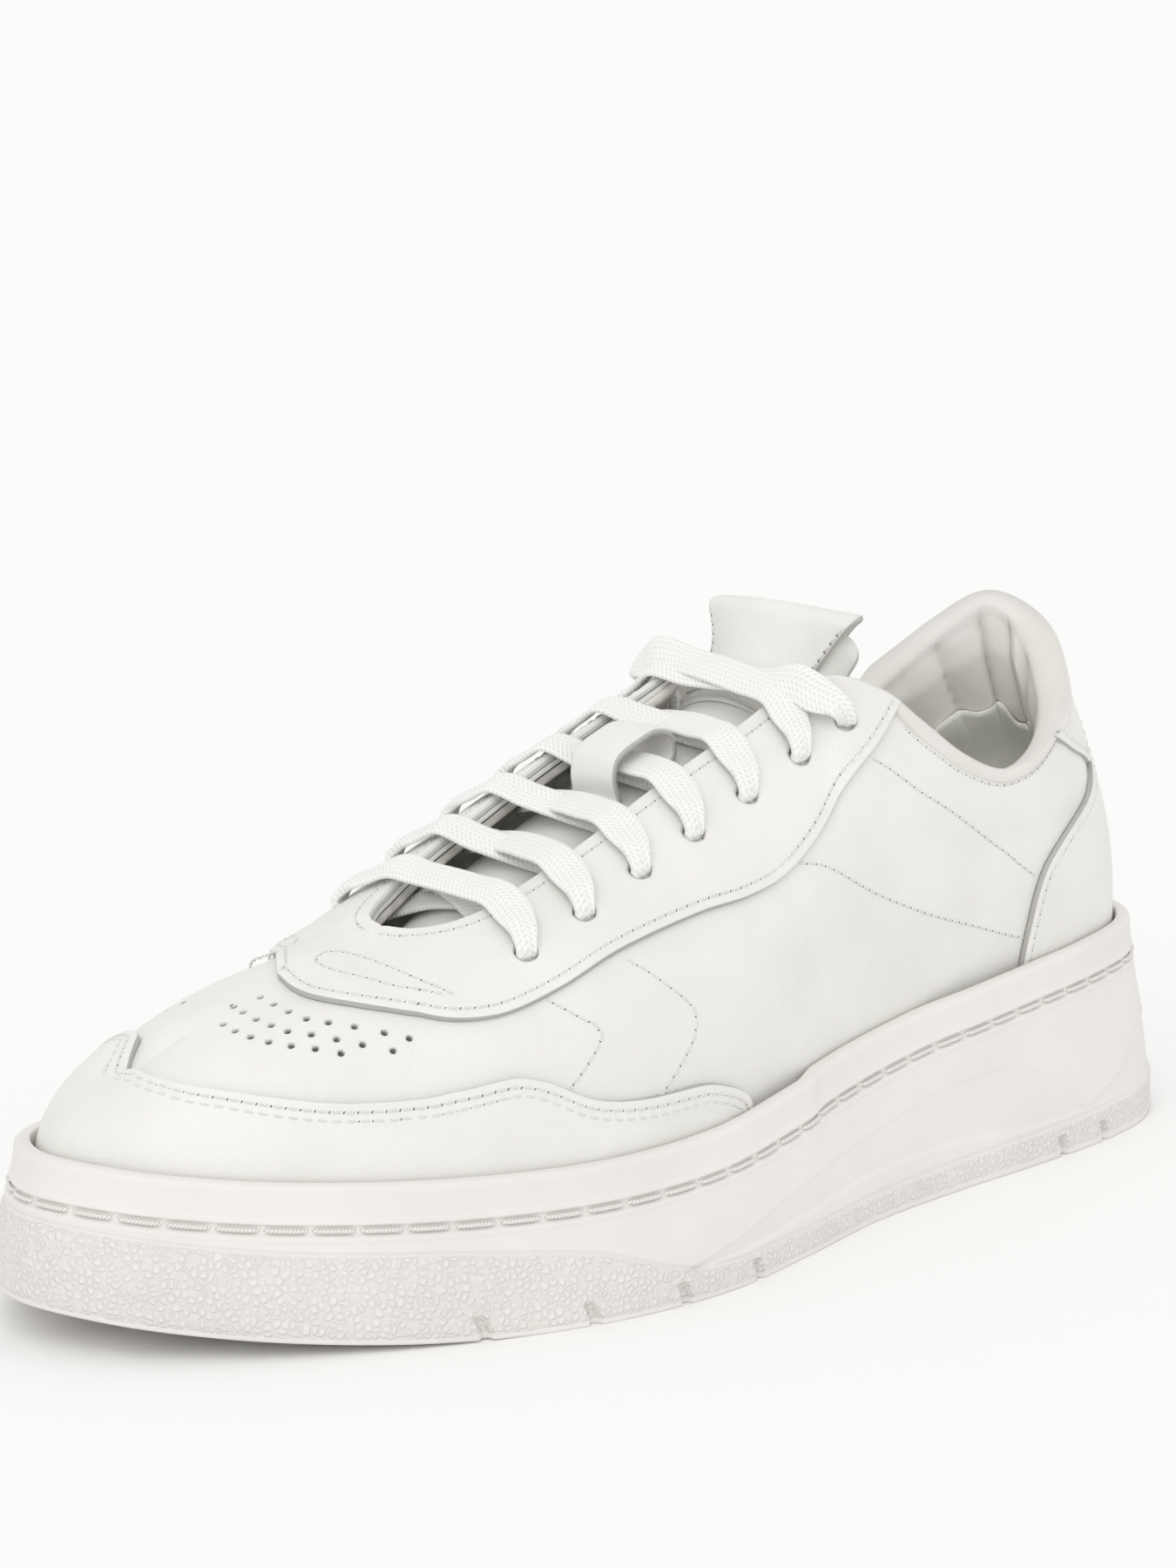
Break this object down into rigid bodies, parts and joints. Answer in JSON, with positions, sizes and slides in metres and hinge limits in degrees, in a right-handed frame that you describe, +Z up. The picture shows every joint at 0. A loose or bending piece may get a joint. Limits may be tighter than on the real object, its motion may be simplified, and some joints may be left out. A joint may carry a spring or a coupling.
{
  "type": "court shoe",
  "caption": "Low-top white leather court shoe for the left foot: lasted upper with toe cap, eyestay and heel counter, padded tongue, flat lace and stitched rubber cupsole.",
  "frame": {"origin": "on the floor under the middle of the shoe's box", "axes": "+X to the toe, +Y to the wearer's left (the outer side of the foot), +Z up"},
  "size_m": [0.3034, 0.1106, 0.1247],
  "materials": {
    "leather": "smooth full-grain, matt",
    "lining_leather": "soft grey lining leather",
    "lining_textile": "woven lining",
    "foam": "open-cell foam",
    "board": "fibre board",
    "sole_rubber": "matt moulded rubber",
    "thread": "bonded sewing thread",
    "lace": "flat braided cotton",
    "aglet": "clear-white film"
  },
  "bodies": {
    "root": {"cupsole": "sole_rubber", "sidewall_thread": "thread", "midsole_insert": "foam", "strobel_board": "board", "shell_leather": "leather", "toe_cap": "leather", "eyestay": "leather", "heel_counter": "leather", "heel_tab": "leather", "counter_stiffener": "board", "toe_puff": "board", "collar_foam": "foam", "facing_reinforcement_outer": "lining_textile", "facing_reinforcement_inner": "lining_textile", "collar_lining": "lining_leather", "quarter_lining": "lining_textile", "vamp_lining": "lining_textile", "heel_grip": "lining_leather", "lace": "lace", "aglet_outer": "aglet", "aglet_inner": "aglet"},
    "tongue": {"tongue_leather": "leather", "tongue_foam": "foam", "tongue_lining": "lining_textile", "tongue_label": "leather", "lace_keeper": "leather"},
    "footbed": {"sockliner": "lining_textile"}
  },
  "joints": [
    {"name": "tongue_hinge", "type": "hinge", "parent": "root", "child": "tongue", "pos_m": [0.0713, -0.002, 0.062], "axis": [0, 1, 0], "range_deg": [-1.5, 0]},
    {"name": "footbed_lift", "type": "hinge", "parent": "root", "child": "footbed", "pos_m": [0.1305, -0.008, 0.019], "axis": [0, 1, 0], "range_deg": [0, 5]}
  ]
}
